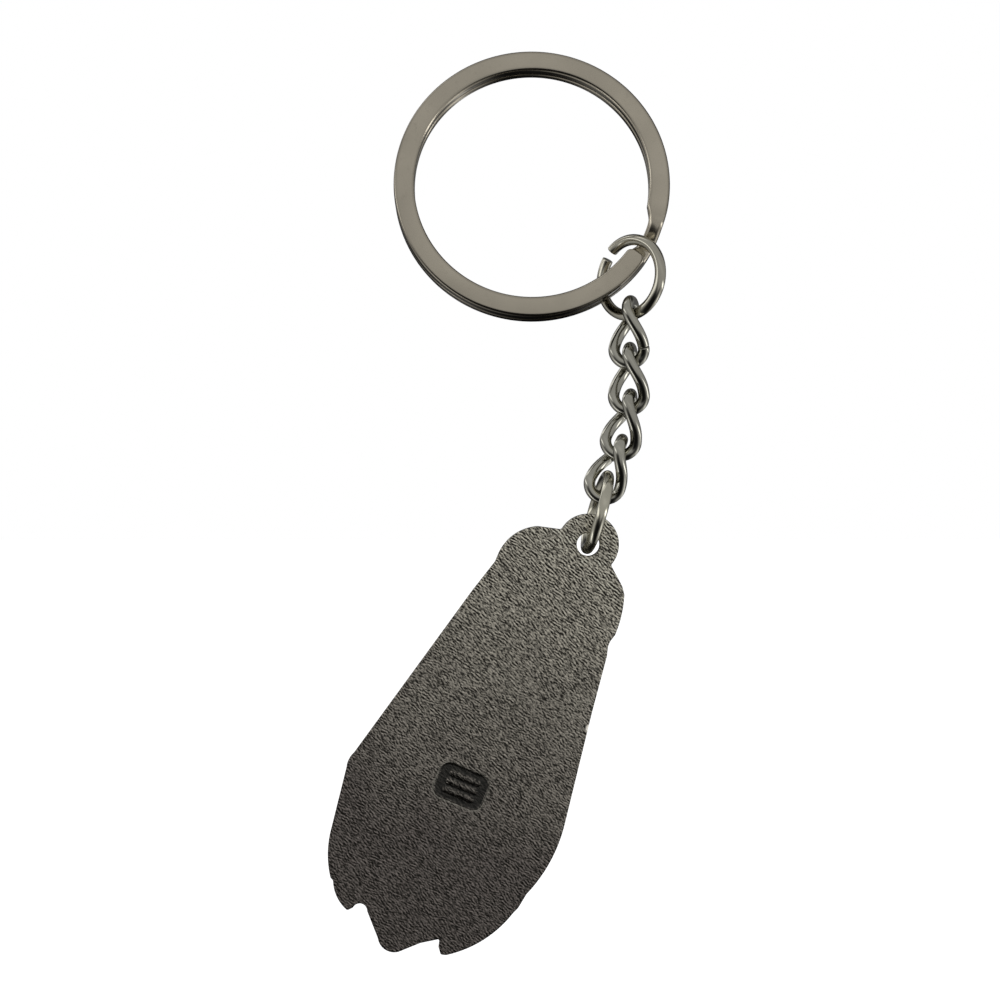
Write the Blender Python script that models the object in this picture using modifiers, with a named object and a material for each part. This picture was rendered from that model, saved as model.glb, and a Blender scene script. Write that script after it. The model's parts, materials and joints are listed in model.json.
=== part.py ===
"""A keychain: a flat-wire split ring, a jump ring, four twisted curb links, a second jump ring and a cast charm.

It hangs in the XZ plane with +Z up and the charm's plain back facing -Y. Lengths are in millimetres in
the constants and functions below, and turn into metres when a mesh is made.
"""

import math

import bmesh
import bpy
from mathutils import Matrix, Vector

MM = 0.001
X_AXIS = Vector((1, 0, 0))
Y_AXIS = Vector((0, 1, 0))
Z_AXIS = Vector((0, 0, 1))

# ---- split ring ----
RING_OUTER_R = 15.0
RING_BAND = 2.3  # radial width of the flat wire
RING_WIRE_T = 1.33  # thickness of one coil
RING_COIL_GAP = 0.06
RING_EDGE_R = 0.42
RING_TIP_R = 0.6  # rounding of the wire's two cut ends, seen on the flat
RING_CENTRE = Vector((3.44, 1.6, 34.16))
RING_TILT = 10.0  # degrees, foot of the ring towards -Y
FRONT_TIP_AT = -34.4  # polar angles along the wire, in degrees
JOGGLE_FROM = -377.0
JOGGLE_TO = -391.0
BACK_TIP_AT = -732.0
# the wire is pressed narrower and rounder through the joggle, from its inner edge
PRESSED_AT = -383.5
PRESSED_HALF = 9.0
PRESSED_NARROWER = 0.56
RING_STEP = 7.5
JOGGLE_STEP = 2.0

# ---- jump rings ----
JUMP_R = 4.08  # to the middle of the wire
JUMP_WIRE = 1.22
JUMP_SEGMENTS = 42
JUMP_SPRUNG_FROM = 0.8  # the share of the way round after which the last end springs out
UPPER_JUMP_CENTRE = Vector((14.105, -0.576, 23.945))
UPPER_JUMP_LEAN = 5.37
UPPER_JUMP_TURN = 43.52
UPPER_JUMP_DIP = -1.73
UPPER_JUMP_GAP = (138.0, 151.0)
UPPER_JUMP_SPRUNG = 0.28  # how far one cut end stands proud of the other
UPPER_JUMP_AT = -42.5  # where round the split ring it hangs
LINK_HOOK_AT = 277.0  # where round the upper jump ring the first link hangs
LOWER_JUMP_FOOT = Vector((9.379, -0.375, -5.233))
LOWER_JUMP_LEAN = 15.84
LOWER_JUMP_NOD = -1.85
LOWER_JUMP_TURN = 4.14
LOWER_JUMP_GAP = (196.0, 199.0)
LOWER_JUMP_SPRUNG = 0.06

# ---- curb links ----
LINK_LENGTH = 8.0  # over the wire
LINK_WIDTH = 4.66
LINK_WIRE = 1.26
LINK_TWIST = 90.0
LINK_TWIST_AT = 0.15  # height of the twist's middle above the link's
LINK_TWIST_HALF = 2.85  # the twist is spread over this length either side of that
LINK_BUTT = 0.08  # gap between the two cut ends
LINK_SEGMENTS = 48
# for each link: its centre, its lean to one side, its nod out of the XZ plane, its turn about its own
# length, and the place of its butt as a share of the way round from the middle of the right leg
LINKS = (
    ((13.945, -0.92, 18.033), 2.1, 1.7, -17.8, -0.085),
    ((13.92, -0.70, 13.04), 1.6, 0.0, -13.0, 0.44),
    ((13.38, -0.89, 8.10), 12.6, -2.5, -12.1, 0.44),
    ((11.92, -1.12, 3.36), 21.3, 1.1, -5.0, 0.44),
)
WIRE_SIDES = 10

# ---- charm ----
# the charm's own frame: u to the right and v up along its length, from the middle of its eye
CHARM_EYE = Vector((9.503, 0.0, -4.784))
CHARM_LEAN = 22.8
PLATE_T = 2.0
PLATE_EDGE_R = 0.22
EYE_R = 1.25
EYE_SIDES = 20
OUTLINE_START = (-3.28, 0.38)
OUTLINE = (
    ("line", (-5.75, -0.28)),  # left shoulder
    ("arc", (-7.68, -1.95), (-8.56, -4.6)),
    ("line", (-8.55, -5.6)),
    ("line", (-9.62, -9.5)),
    ("line", (-14.60, -30.6)),  # long left side, down to the corner
    ("arc", (-14.82, -31.4), (-14.72, -32.1)),
    ("line", (-13.62, -39.2)),
    ("arc", (-12.85, -41.8), (-11.70, -43.8)),  # first lobe, with a nib half way
    ("line", (-11.32, -43.98)),
    ("arc", (-10.20, -45.5), (-8.66, -46.35)),
    ("line", (-8.20, -45.85)),
    ("arc", (-7.55, -45.1), (-6.65, -45.6)),  # first notch
    ("line", (-4.46, -47.85)),
    ("arc", (-3.25, -48.68), (-1.60, -48.1)),  # middle lobe
    ("line", (-0.05, -46.55)),
    ("line", (1.70, -45.35)),  # second notch
    ("line", (1.90, -46.15)),
    ("line", (2.45, -46.85)),
    ("line", (3.05, -46.65)),
    ("arc", (5.95, -43.8), (7.92, -39.7)),  # last lobe
    ("line", (8.22, -38.95)),
    ("line", (8.45, -37.3)),
    ("arc", (9.52, -32.4), (9.30, -28.5)),
    ("line", (7.38, -16.5)),  # long right side
    ("line", (6.52, -10.3)),
    ("line", (6.22, -9.3)),
    ("line", (6.22, -8.7)),
    ("line", (6.45, -7.9)),
    ("arc", (6.22, -5.4), (5.70, -3.5)),  # right shoulder
    ("line", (5.15, -2.75)),
    ("line", (3.12, -1.10)),
    ("arc", (0.2, 3.3), OUTLINE_START),  # round the tab
)
ARC_STEP = 14.0
STAMP_CENTRE = (-2.5, -29.3)
STAMP_SIZE = (5.6, 3.9)
STAMP_CORNER = 1.1
STAMP_DEPTH = 0.32
STAMP_BARS = 3
STAMP_BAR = (3.4, 0.42)
STAMP_BAR_PITCH = 0.95

# ---- the charm's face: a sunk field inside a rim, a yoke and pleats that fan to the lobes ----
FIELD_DEPTH = 0.55
FIELD_START = (-5.2, -2.6)
FIELD = (
    ("arc", (-6.55, -3.6), (-7.15, -5.4)),
    ("line", (-8.35, -9.9)),
    ("line", (-13.15, -30.6)),
    ("arc", (-13.35, -31.6), (-13.3, -32.6)),
    ("line", (-12.35, -38.6)),
    ("arc", (-11.4, -41.6), (-9.7, -44.0)),
    ("line", (-7.6, -43.5)),
    ("line", (-5.6, -44.6)),
    ("line", (-3.4, -46.7)),
    ("line", (-1.4, -46.0)),
    ("line", (1.2, -43.9)),
    ("line", (3.2, -44.6)),
    ("arc", (5.3, -42.2), (6.7, -38.9)),
    ("line", (7.2, -36.6)),
    ("arc", (8.15, -32.4), (7.95, -28.6)),
    ("line", (6.05, -16.5)),
    ("line", (5.15, -9.6)),
    ("line", (5.0, -6.4)),
    ("arc", (4.45, -4.3), (2.9, -3.3)),
    ("arc", (-0.9, -3.9), (FIELD_START)),
)
YOKE_AT = (-7.4, -13.2, 5.0, -12.6)  # left end and right end of the yoke bar
YOKE_SAG = 1.6
YOKE_WIDTH = 1.3
PLEATS = (
    ((-6.6, -16.2), (-9.6, -27.0), (-10.4, -40.0)),
    ((-3.9, -16.8), (-5.4, -28.0), (-6.4, -41.6)),
    ((-1.2, -17.0), (-1.8, -29.0), (-2.4, -43.6)),
    ((1.5, -16.8), (2.0, -28.0), (2.0, -41.4)),
    ((4.1, -16.0), (5.4, -25.0), (5.4, -37.6)),
)
PLEAT_WIDTH = (0.9, 2.3)  # at its head and at its foot
PLEAT_RISE = 0.42
PLEAT_ROOT = 0.35  # how far a raised feature reaches into the floor under it
PLEAT_STEPS = 10
PLEAT_SIDES = 6
CUTTER_CLEAR = 1.0  # how far a cutter stands outside the plate


# ---------------------------------------------------------------- small helpers


def clear_scene():
    for item in list(bpy.data.objects):
        bpy.data.objects.remove(item, do_unlink=True)


def new_collection(name, hidden=False):
    made = bpy.data.collections.new(name)
    bpy.context.scene.collection.children.link(made)
    made.hide_render = hidden
    return made


def metal(name, colour, roughness):
    made = bpy.data.materials.new(name)
    made.use_nodes = True
    shader = made.node_tree.nodes["Principled BSDF"]
    shader.inputs["Base Color"].default_value = (*colour, 1)
    shader.inputs["Metallic"].default_value = 1.0
    shader.inputs["Roughness"].default_value = roughness
    made.diffuse_color = (*colour, 1)
    made.metallic = 1.0
    made.roughness = roughness
    return made


def mesh_object(name, shape, collection, material=None, smooth=False):
    """An object from a bmesh in millimetres, with its faces turned outwards."""
    bmesh.ops.recalc_face_normals(shape, faces=shape.faces)
    bmesh.ops.scale(shape, vec=(MM, MM, MM), verts=shape.verts)
    data = bpy.data.meshes.new(name)
    shape.to_mesh(data)
    shape.free()
    made = bpy.data.objects.new(name, data)
    collection.objects.link(made)
    if material:
        data.materials.append(material)
    for face in data.polygons:
        face.use_smooth = smooth and len(face.vertices) == 4
    return made


def turned(axis, degrees):
    return Matrix.Rotation(math.radians(degrees), 4, axis)


def smoothstep(share):
    share = min(1.0, max(0.0, share))
    return share * share * (3 - 2 * share)


def put_origin(made, point):
    """Moves the object's origin to a point of the world, in millimetres, and leaves its shape where it is."""
    target = point * MM
    made.data.transform(Matrix.Translation(-(made.matrix_world.inverted() @ target)))
    turn = made.matrix_world.to_3x3().to_4x4()
    made.matrix_world = Matrix.Translation(target) @ turn


def sweep(path, frames, sections, closed=False):
    """A bmesh swept along a path. Each frame is the pair of directions that its section is drawn on."""
    shape = bmesh.new()
    rings = []
    for point, (side, up), section in zip(path, frames, sections):
        rings.append([shape.verts.new(point + side * x + up * y) for x, y in section])
    pairs = list(zip(rings, rings[1:]))
    if closed:
        pairs.append((rings[-1], rings[0]))
    for first, second in pairs:
        count = len(first)
        for i in range(count):
            j = (i + 1) % count
            shape.faces.new((first[i], first[j], second[j], second[i]))
    if not closed:
        shape.faces.new(rings[0])
        shape.faces.new(list(reversed(rings[-1])))
    return shape


def carried_frames(path):
    """Frames along a path that turn with it and don't spin about it."""
    tangents = []
    for i, point in enumerate(path):
        before = path[max(i - 1, 0)]
        after = path[min(i + 1, len(path) - 1)]
        tangents.append((after - before).normalized())
    seed = Y_AXIS if abs(tangents[0].dot(Y_AXIS)) < 0.9 else X_AXIS
    side = (seed - tangents[0] * seed.dot(tangents[0])).normalized()
    frames = []
    for tangent in tangents:
        side = (side - tangent * side.dot(tangent)).normalized()
        frames.append((side, tangent.cross(side)))
    return frames


def round_section(diameter, sides=WIRE_SIDES):
    # the corners stand a little outside the wire's surface, so that the wire keeps its area
    full = 2 * math.pi / sides
    radius = diameter / 2 * math.sqrt(full / math.sin(full))
    return [(radius * math.cos(i * full), radius * math.sin(i * full)) for i in range(sides)]


def wire_object(name, path, diameter, collection, material):
    sections = [round_section(diameter)] * len(path)
    return mesh_object(name, sweep(path, carried_frames(path), sections), collection, material, True)


# ---------------------------------------------------------------- outlines


def arc_through(start, via, end):
    """Points of the circle through three points, from just after the first to the last."""
    ax, ay = start
    bx, by = via
    cx, cy = end
    twice = 2 * (ax * (by - cy) + bx * (cy - ay) + cx * (ay - by))
    a2, b2, c2 = ax * ax + ay * ay, bx * bx + by * by, cx * cx + cy * cy
    mx = (a2 * (by - cy) + b2 * (cy - ay) + c2 * (ay - by)) / twice
    my = (a2 * (cx - bx) + b2 * (ax - cx) + c2 * (bx - ax)) / twice
    radius = math.hypot(ax - mx, ay - my)
    first = math.atan2(ay - my, ax - mx)
    middle = (math.atan2(by - my, bx - mx) - first) % (2 * math.pi)
    sweep_angle = (math.atan2(cy - my, cx - mx) - first) % (2 * math.pi)
    if middle > sweep_angle:
        sweep_angle -= 2 * math.pi
    steps = max(2, math.ceil(abs(math.degrees(sweep_angle)) / ARC_STEP))
    points = []
    for i in range(1, steps + 1):
        angle = first + sweep_angle * i / steps
        points.append((mx + radius * math.cos(angle), my + radius * math.sin(angle)))
    points[-1] = end
    return points


def outline_points(start, pieces):
    points = [start]
    for piece in pieces:
        if piece[0] == "line":
            points.append(piece[1])
        else:
            points.extend(arc_through(points[-1], piece[1], piece[2]))
    return points[:-1] if math.dist(points[0], points[-1]) < 1e-6 else points


def rounded_box(centre, size, corner, steps=4):
    points = []
    for sx, sy, first in ((1, 1, 0), (-1, 1, 90), (-1, -1, 180), (1, -1, 270)):
        cx = centre[0] + sx * (size[0] / 2 - corner)
        cy = centre[1] + sy * (size[1] / 2 - corner)
        for i in range(steps + 1):
            angle = math.radians(first + 90 * i / steps)
            points.append((cx + corner * math.cos(angle), cy + corner * math.sin(angle)))
    return points


def slab(points, near, far):
    """A flat shape in (u, v), from one depth to another. Depth runs along +Y."""
    shape = bmesh.new()
    low = [shape.verts.new((u, near, v)) for u, v in points]
    high = [shape.verts.new((u, far, v)) for u, v in points]
    shape.faces.new(low)
    shape.faces.new(list(reversed(high)))
    for i in range(len(points)):
        j = (i + 1) % len(points)
        shape.faces.new((low[j], low[i], high[i], high[j]))
    return shape


def cut(body, tool, operation="DIFFERENCE"):
    modifier = body.modifiers.new(tool.name, "BOOLEAN")
    modifier.operation = operation
    modifier.solver = "EXACT"
    modifier.object = tool


# ---------------------------------------------------------------- the pieces


def ring_directions():
    tilt = math.radians(RING_TILT)
    up = Vector((0, math.sin(tilt), math.cos(tilt)))
    facing = Vector((0, -math.cos(tilt), math.sin(tilt)))
    return X_AXIS, up, facing


def ring_angles():
    """Polar angles along the wire, closer together through the joggle and at the rounded ends."""
    middle = RING_OUTER_R - RING_BAND / 2
    tip = math.degrees(RING_TIP_R / middle)
    ends = [0.0, 0.15 * tip, 0.5 * tip, tip]
    angles = [FRONT_TIP_AT - share for share in ends]
    stops = ((JOGGLE_FROM + 5, RING_STEP), (JOGGLE_TO - 5, JOGGLE_STEP), (BACK_TIP_AT + tip, RING_STEP))
    for stop, step in stops:
        start = angles[-1]
        count = math.ceil((start - stop) / step)
        angles += [start + (stop - start) * i / count for i in range(1, count + 1)]
    angles += [BACK_TIP_AT + share for share in reversed(ends[:-1])]
    return angles


def ring_layer(angle):
    """How far the wire's middle is in front of the ring's middle plane."""
    half = (RING_WIRE_T + RING_COIL_GAP) / 2
    return half - 2 * half * smoothstep((JOGGLE_FROM - angle) / (JOGGLE_FROM - JOGGLE_TO))


def pressed(angle):
    """How far the wire is pressed round at an angle: fully in the joggle, not at all away from it."""
    return math.exp(-(((angle - PRESSED_AT) / PRESSED_HALF) ** 4))


def band_section(half_width, roundness):
    """The flat wire's section, between a rounded rectangle and a narrower oval."""
    half_t = RING_WIRE_T / 2
    shift = roundness * PRESSED_NARROWER / 2
    half_width -= shift
    section = []
    for sx, sy, first in ((1, 1, 0), (-1, 1, 90), (-1, -1, 180), (1, -1, 270)):
        for i in range(3):
            angle = math.radians(first + 45 * i)
            x = sx * (half_width - RING_EDGE_R) + RING_EDGE_R * math.cos(angle)
            y = sy * (half_t - RING_EDGE_R) + RING_EDGE_R * math.sin(angle)
            around = math.atan2(y / half_t, x / half_width)
            x += (half_width * math.cos(around) - x) * roundness
            y += (half_t * math.sin(around) - y) * roundness
            section.append((x + shift, y))
    return section


def split_ring(collection):
    side, up, facing = ring_directions()
    middle = RING_OUTER_R - RING_BAND / 2
    path, frames, sections = [], [], []
    angles = ring_angles()
    for angle in angles:
        turn = math.radians(angle)
        outwards = side * math.cos(turn) + up * math.sin(turn)
        along = up * math.cos(turn) - side * math.sin(turn)
        slope = (ring_layer(angle + 0.5) - ring_layer(angle - 0.5)) / (math.radians(1) * middle)
        path.append(RING_CENTRE + outwards * middle + facing * ring_layer(angle))
        frames.append((outwards, (facing - along * slope).normalized()))
        from_tip = min(angles[0] - angle, angle - angles[-1])
        short = max(0.0, RING_TIP_R - math.radians(from_tip) * middle)
        rounding = RING_TIP_R - math.sqrt(RING_TIP_R**2 - short**2)
        sections.append(band_section(RING_BAND / 2 - rounding, pressed(angle)))
    steel = metal("split_ring_plated_steel", (0.23, 0.215, 0.19), 0.22)
    made = mesh_object("split_ring", sweep(path, frames, sections), collection, steel, True)
    put_origin(made, RING_CENTRE)
    return made


def jump_path(centre, up, across, gap, sprung):
    """The wire's middle line, from one side of the gap right round to the other."""
    facing = up.cross(across)
    first, last = gap[1], gap[0] + 360
    path = []
    for i in range(JUMP_SEGMENTS + 1):
        angle = math.radians(first + (last - first) * i / JUMP_SEGMENTS)
        share = (i / JUMP_SEGMENTS - JUMP_SPRUNG_FROM) / (1 - JUMP_SPRUNG_FROM)
        proud = sprung * smoothstep(share)
        spoke = across * math.cos(angle) + up * math.sin(angle)
        path.append(centre + spoke * (JUMP_R + proud) + facing * proud / 2)
    return path


def upper_jump_directions():
    lean = math.radians(UPPER_JUMP_LEAN)
    turn = math.radians(UPPER_JUMP_TURN)
    up = Vector((math.sin(lean), 0, math.cos(lean)))
    across = Vector((math.cos(lean), 0, -math.sin(lean))) * math.cos(turn) - Y_AXIS * math.sin(turn)
    return turned(across, UPPER_JUMP_DIP) @ up, across


def upper_jump_ring(collection, hangs_on):
    up, across = upper_jump_directions()
    path = jump_path(UPPER_JUMP_CENTRE, up, across, UPPER_JUMP_GAP, UPPER_JUMP_SPRUNG)
    steel = metal("upper_jump_ring_plated_steel", (0.2, 0.19, 0.17), 0.2)
    made = wire_object("upper_jump_ring", path, JUMP_WIRE, collection, steel)
    put_origin(made, hangs_on)
    return made


def band_point(angle):
    """The middle of the split ring's two-coil band at a polar angle."""
    side, up, _ = ring_directions()
    turn = math.radians(angle)
    return RING_CENTRE + (side * math.cos(turn) + up * math.sin(turn)) * (RING_OUTER_R - RING_BAND / 2)


def lower_jump_directions():
    up = turned(Y_AXIS, LOWER_JUMP_LEAN) @ turned(X_AXIS, LOWER_JUMP_NOD) @ Z_AXIS
    across = (up * up.y - Y_AXIS).normalized()
    return up, turned(up, LOWER_JUMP_TURN) @ across


def lower_jump_centre():
    return LOWER_JUMP_FOOT + lower_jump_directions()[0] * JUMP_R


def lower_jump_ring(collection, hangs_on):
    up, across = lower_jump_directions()
    path = jump_path(lower_jump_centre(), up, across, LOWER_JUMP_GAP, LOWER_JUMP_SPRUNG)
    steel = metal("lower_jump_ring_plated_steel", (0.21, 0.2, 0.18), 0.2)
    made = wire_object("lower_jump_ring", path, JUMP_WIRE, collection, steel)
    put_origin(made, hangs_on)
    return made


def link_line(share):
    """A point of the untwisted link's middle line, going once round from the middle of its right leg upwards."""
    radius = (LINK_WIDTH - LINK_WIRE) / 2
    leg = LINK_LENGTH - LINK_WIDTH
    bow = math.pi * radius
    along = (share % 1.0) * (2 * leg + 2 * bow)
    if along < leg / 2:
        return radius, along
    along -= leg / 2
    if along < bow:
        return radius * math.cos(along / radius), leg / 2 + radius * math.sin(along / radius)
    along -= bow
    if along < leg:
        return -radius, leg / 2 - along
    along -= leg
    if along < bow:
        return -radius * math.cos(along / radius), -leg / 2 - radius * math.sin(along / radius)
    return radius, along - bow - leg / 2


def link_path(butt_at):
    """The twisted link's middle line: the lower bow lies across X and the upper bow across Y."""
    leg = LINK_LENGTH - LINK_WIDTH
    around = 2 * leg + math.pi * (LINK_WIDTH - LINK_WIRE)
    first = butt_at + LINK_BUTT / 2 / around
    last = butt_at + 1 - LINK_BUTT / 2 / around
    path = []
    for i in range(LINK_SEGMENTS + 1):
        x, z = link_line(first + (last - first) * i / LINK_SEGMENTS)
        twist = smoothstep((z - LINK_TWIST_AT + LINK_TWIST_HALF) / (2 * LINK_TWIST_HALF))
        turn = math.radians(-LINK_TWIST * twist)
        path.append(Vector((x * math.cos(turn), x * math.sin(turn), z)))
    return path


def link_matrix(index):
    centre, lean, nod, turn, _ = LINKS[index]
    return Matrix.Translation(centre) @ turned(Y_AXIS, lean) @ turned(X_AXIS, nod) @ turned(Z_AXIS, turn)


def bow_point(index, end):
    """The middle of the wire at a link's top (end 1) or foot (end -1)."""
    return link_matrix(index) @ (Z_AXIS * end * (LINK_LENGTH - LINK_WIRE) / 2)


def chain_link(index, collection, origin):
    to_world = link_matrix(index)
    path = [to_world @ point for point in link_path(LINKS[index][4])]
    name = f"chain_link_{index + 1}"
    shade = 0.2 + 0.01 * index
    steel = metal(f"{name}_plated_steel", (shade, shade * 0.95, shade * 0.85), 0.2)
    made = wire_object(name, path, LINK_WIRE, collection, steel)
    put_origin(made, origin)
    return made


def bent_bar(points, widths, rise, root, steps):
    """A tapering bar with a rounded top, along a bent line on the charm's face. Its top faces +Y."""
    (x0, z0), (x1, z1), (x2, z2) = points
    shape = bmesh.new()
    rings = []
    for i in range(steps + 1):
        t = i / steps
        u = (1 - t) ** 2 * x0 + 2 * t * (1 - t) * x1 + t * t * x2
        v = (1 - t) ** 2 * z0 + 2 * t * (1 - t) * z1 + t * t * z2
        du = 2 * (1 - t) * (x1 - x0) + 2 * t * (x2 - x1)
        dv = 2 * (1 - t) * (z1 - z0) + 2 * t * (z2 - z1)
        size = math.hypot(du, dv)
        side = Vector((dv / size, 0, -du / size))
        ends = math.sqrt(max(0.0, 1 - (abs(2 * t - 1)) ** 8))
        half = (widths[0] + (widths[1] - widths[0]) * t) / 2 * max(0.35, ends)
        ring = [shape.verts.new(Vector((u, -root, v)) - side * half)]
        for k in range(PLEAT_SIDES + 1):
            angle = math.pi * (1 - k / PLEAT_SIDES)
            lift = rise * max(0.3, ends) * math.sin(angle)
            ring.append(shape.verts.new(Vector((u, lift, v)) + side * half * math.cos(angle)))
        ring.append(shape.verts.new(Vector((u, -root, v)) + side * half))
        rings.append(ring)
    for first, second in zip(rings, rings[1:]):
        for i in range(len(first)):
            j = (i + 1) % len(first)
            shape.faces.new((first[i], first[j], second[j], second[i]))
    shape.faces.new(rings[0])
    shape.faces.new(list(reversed(rings[-1])))
    return shape


def charm_matrix():
    return Matrix.Translation(CHARM_EYE * MM) @ turned(Y_AXIS, CHARM_LEAN)


def helper(name, shape, cutters, to_world):
    made = mesh_object(name, shape, cutters)
    made.matrix_world = to_world
    made.display_type = "WIRE"
    made.hide_render = True
    return made


def charm(collection, cutters, origin):
    to_world = charm_matrix()
    back, face = -PLATE_T / 2, PLATE_T / 2
    zinc = metal("charm_plated_zinc", (0.16, 0.15, 0.135), 0.42)
    body = mesh_object("charm", slab(outline_points(OUTLINE_START, OUTLINE), back, face), collection, zinc)
    body.matrix_world = to_world

    edges = body.modifiers.new("eased_edges", "BEVEL")
    edges.width = PLATE_EDGE_R * MM
    edges.segments = 2
    edges.limit_method = "ANGLE"
    edges.angle_limit = math.radians(60)

    floor = face - FIELD_DEPTH
    field = slab(outline_points(FIELD_START, FIELD), floor, face + CUTTER_CLEAR)
    cut(body, helper("cut_field", field, cutters, to_world))

    left_u, left_v, right_u, right_v = YOKE_AT
    yoke = ((left_u, left_v), ((left_u + right_u) / 2, left_v - 2 * YOKE_SAG), (right_u, right_v))
    bars = [("yoke", yoke, (YOKE_WIDTH, YOKE_WIDTH))]
    bars += [(f"pleat_{i + 1}", line, PLEAT_WIDTH) for i, line in enumerate(PLEATS)]
    for name, line, widths in bars:
        bar = bent_bar(line, widths, PLEAT_RISE, PLEAT_ROOT, PLEAT_STEPS)
        bmesh.ops.translate(bar, vec=(0, floor, 0), verts=bar.verts)
        cut(body, helper(f"add_{name}", bar, cutters, to_world), "UNION")

    step = 2 * math.pi / EYE_SIDES
    eye = [(EYE_R * math.cos(i * step), EYE_R * math.sin(i * step)) for i in range(EYE_SIDES)]
    cut(body, helper("cut_eye", slab(eye, back - CUTTER_CLEAR, face + CUTTER_CLEAR), cutters, to_world))

    stamp = slab(rounded_box(STAMP_CENTRE, STAMP_SIZE, STAMP_CORNER), back - CUTTER_CLEAR, back + STAMP_DEPTH)
    cut(body, helper("cut_stamp", stamp, cutters, to_world))
    for i in range(STAMP_BARS):
        rise = (i - (STAMP_BARS - 1) / 2) * STAMP_BAR_PITCH
        centre = (STAMP_CENTRE[0], STAMP_CENTRE[1] + rise)
        bar = rounded_box(centre, STAMP_BAR, STAMP_BAR[1] / 2.5, 2)
        bar = slab(bar, back + STAMP_DEPTH / 2, back + STAMP_DEPTH + PLEAT_ROOT)
        cut(body, helper(f"add_stamp_bar_{i + 1}", bar, cutters, to_world), "UNION")

    put_origin(body, origin)
    return body


def joint_points():
    """Where each moving piece turns, in millimetres."""
    up, across = upper_jump_directions()
    hook = math.radians(LINK_HOOK_AT)
    hang = UPPER_JUMP_CENTRE + (across * math.cos(hook) + up * math.sin(hook)) * JUMP_R
    return {
        "upper_jump_ring": band_point(UPPER_JUMP_AT),
        "chain_link_1": hang,
        "chain_link_2": bow_point(1, 1),
        "chain_link_3": bow_point(1, -1),
        "chain_link_4": bow_point(3, 1),
        "lower_jump_ring": bow_point(3, -1),
        "charm": LOWER_JUMP_FOOT,
    }


def stand_on_origin(made, others):
    """Shifts everything so that the middle of the underside of the whole is at the world's origin."""
    bpy.context.view_layer.update()
    graph = bpy.context.evaluated_depsgraph_get()
    corners = []
    for item in made:
        evaluated = item.evaluated_get(graph)
        corners += [item.matrix_world @ vertex.co for vertex in evaluated.data.vertices]
    low = Vector([min(corner[i] for corner in corners) for i in range(3)])
    high = Vector([max(corner[i] for corner in corners) for i in range(3)])
    shift = Vector((-(low.x + high.x) / 2, -(low.y + high.y) / 2, -low.z))
    for item in list(made) + list(others):
        item.matrix_world = Matrix.Translation(shift) @ item.matrix_world


def main():
    clear_scene()
    parts = new_collection("keychain")
    cutters = new_collection("cutters", hidden=True)
    joints = joint_points()
    made = [
        split_ring(parts),
        upper_jump_ring(parts, joints["upper_jump_ring"]),
        *[chain_link(i, parts, joints[f"chain_link_{i + 1}"]) for i in range(len(LINKS))],
        lower_jump_ring(parts, joints["lower_jump_ring"]),
        charm(parts, cutters, joints["charm"]),
    ]
    stand_on_origin(made, cutters.objects)


main()
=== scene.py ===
"""The keychain's finished look: polished black-nickel wires, a flat-wire split ring and a cast charm.

Shapes are worked out in millimetres, in the frame of the CAD part before it was stood on its origin. The
record's first joint says where that frame lies, and every mesh is moved there as it turns into metres.
"""

import json
import math

import bmesh
import bpy
import numpy as np
from mathutils import Matrix, Vector


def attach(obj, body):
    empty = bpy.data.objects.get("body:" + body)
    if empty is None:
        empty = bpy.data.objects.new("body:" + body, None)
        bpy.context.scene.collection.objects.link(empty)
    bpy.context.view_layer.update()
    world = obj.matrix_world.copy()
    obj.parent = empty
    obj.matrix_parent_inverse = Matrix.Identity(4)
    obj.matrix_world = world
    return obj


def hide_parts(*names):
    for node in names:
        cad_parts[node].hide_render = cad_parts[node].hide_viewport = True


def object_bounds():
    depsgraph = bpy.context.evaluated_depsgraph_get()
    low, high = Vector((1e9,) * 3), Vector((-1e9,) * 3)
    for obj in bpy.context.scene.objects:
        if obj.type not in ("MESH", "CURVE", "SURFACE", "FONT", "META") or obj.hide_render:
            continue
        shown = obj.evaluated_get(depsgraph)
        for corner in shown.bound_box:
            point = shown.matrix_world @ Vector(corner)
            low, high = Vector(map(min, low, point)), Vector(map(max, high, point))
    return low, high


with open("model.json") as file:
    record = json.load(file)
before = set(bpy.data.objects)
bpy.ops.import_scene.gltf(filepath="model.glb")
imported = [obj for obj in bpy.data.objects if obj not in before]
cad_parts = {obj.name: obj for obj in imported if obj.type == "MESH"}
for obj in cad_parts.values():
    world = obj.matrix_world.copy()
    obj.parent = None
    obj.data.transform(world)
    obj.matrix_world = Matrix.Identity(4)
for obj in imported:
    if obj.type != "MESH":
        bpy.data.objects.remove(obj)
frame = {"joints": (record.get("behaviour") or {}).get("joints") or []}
CAD_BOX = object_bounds()

MM = 0.001
X_AXIS = Vector((1, 0, 0))
Y_AXIS = Vector((0, 1, 0))
Z_AXIS = Vector((0, 0, 1))

# ---- split ring ----
RING_OUTER_R = 14.97
RING_BAND = 2.24
RING_WIRE_T = 1.32
RING_COIL_GAP = 0.06
RING_EDGE_R = 0.42
RING_TIP_R = 0.6
RING_CENTRE = Vector((3.44, 1.6, 34.16))
RING_TILT = 10.0
WALL_SHADE_DEPTH = 0.3  # painted shade: the plating colour is darkened on the ring's outer wall, standing in for the dark it reflects there, from this far inside it
FRONT_TIP_AT = -34.4
JOGGLE_FROM = -377.0
JOGGLE_TO = -391.0
BACK_TIP_AT = -732.0
RING_STEP = 1.5
JOGGLE_STEP = 0.5
RING_CORNER_STEPS = 9
# the wire is pressed narrower and rounder through the joggle, from its inner edge
PRESSED_AT = -383.5
PRESSED_HALF = 9.0
PRESSED_NARROWER = 0.56

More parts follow.
